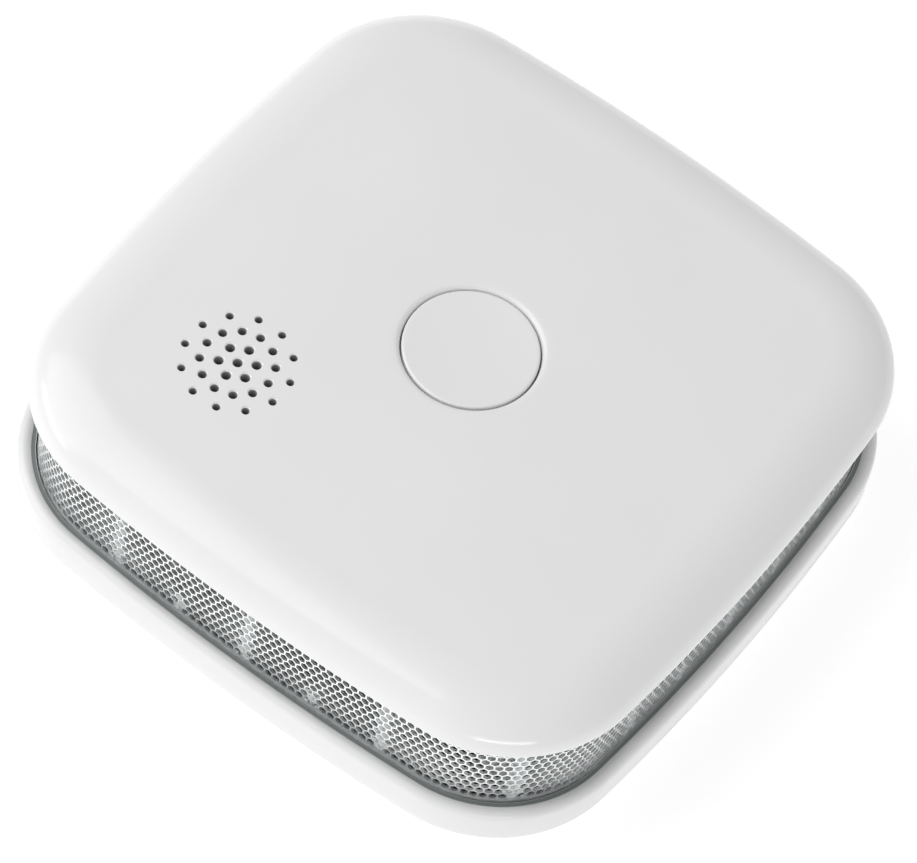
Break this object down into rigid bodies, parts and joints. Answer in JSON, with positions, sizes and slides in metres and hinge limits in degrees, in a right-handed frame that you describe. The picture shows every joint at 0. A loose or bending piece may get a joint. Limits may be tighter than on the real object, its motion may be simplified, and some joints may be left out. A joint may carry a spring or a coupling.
{
  "type": "carbon monoxide detector",
  "caption": "Rounded square carbon monoxide alarm with a central test button, perforated gas screen all round, battery bay and twist-lock wall plate.",
  "frame": {"origin": "centre of the back, on the wall face of the mounting plate", "axes": "+Z out of the front cover, away from the wall; +X and +Y along the bowed sides, with the sounder holes towards -X and +Y"},
  "size_m": [0.115, 0.115, 0.0349],
  "materials": {
    "cover_white": "high gloss moulded white",
    "base_white": "gloss moulded white",
    "inner_white": "satin moulded white",
    "plate_white": "fine spark-eroded texture",
    "black_plastic": "matt",
    "clear_plastic": "clear moulded",
    "screen_steel": "bright stainless strip",
    "can_steel": "drawn, satin",
    "screw_steel": "zinc plated",
    "spring_steel": "nickel plated",
    "brass_disc": "bright",
    "gold_pins": "gold flash",
    "board_green": "solder mask",
    "ferrite": "sintered",
    "foam_grey": "closed-cell foam",
    "cell_wrap": "shrink sleeve",
    "wire_sleeve": "insulation",
    "label_grey": "blank polyester label"
  },
  "bodies": {
    "housing": {"front_cover": "cover_white", "button_frame": "inner_white", "frame_screws": "screw_steel", "light_guide": "clear_plastic", "status_leds": "clear_plastic", "switch_body": "black_plastic", "sounder_gasket": "foam_grey", "sounder_cup": "black_plastic", "piezo_disc": "brass_disc", "sounder_leads": "wire_sleeve", "gas_screen": "screen_steel", "screen_frame": "inner_white", "circuit_board": "board_green", "board_screws": "screw_steel", "co_sensor": "can_steel", "sensor_cap": "black_plastic", "sensor_pins": "gold_pins", "microcontroller": "black_plastic", "boost_inductor": "ferrite", "capacitors": "can_steel", "battery_holder": "black_plastic", "battery_left": "cell_wrap", "battery_right": "cell_wrap", "battery_springs": "spring_steel", "battery_contacts": "spring_steel", "battery_leads": "wire_sleeve", "base": "base_white", "cover_screws": "screw_steel", "switch_board": "board_green", "board_header": "black_plastic", "header_pins": "gold_pins", "screen_seal": "foam_grey"},
    "button": {"test_button": "cover_white", "button_spring": "spring_steel", "switch_plunger": "black_plastic"},
    "door": {"battery_door": "base_white", "door_label": "label_grey"},
    "plate": {"mounting_plate": "plate_white"}
  },
  "joints": [
    {"name": "button_press", "type": "slide", "parent": "housing", "child": "button", "axis": [0, 0, -1], "range_m": [0, 0.001], "stiffness_N_per_m": 600, "springref_m": -0.002, "deforming": ["button_spring"]},
    {"name": "plate_twist", "type": "hinge", "parent": "housing", "child": "plate", "pos_m": [0, 0, 0], "axis": [0, 0, -1], "range_deg": [0, 20]},
    {"name": "door_hinge", "type": "hinge", "parent": "housing", "child": "door", "pos_m": [0, -0.0146, 0.0017], "axis": [-1, 0, 0], "range_deg": [0, 100]}
  ]
}
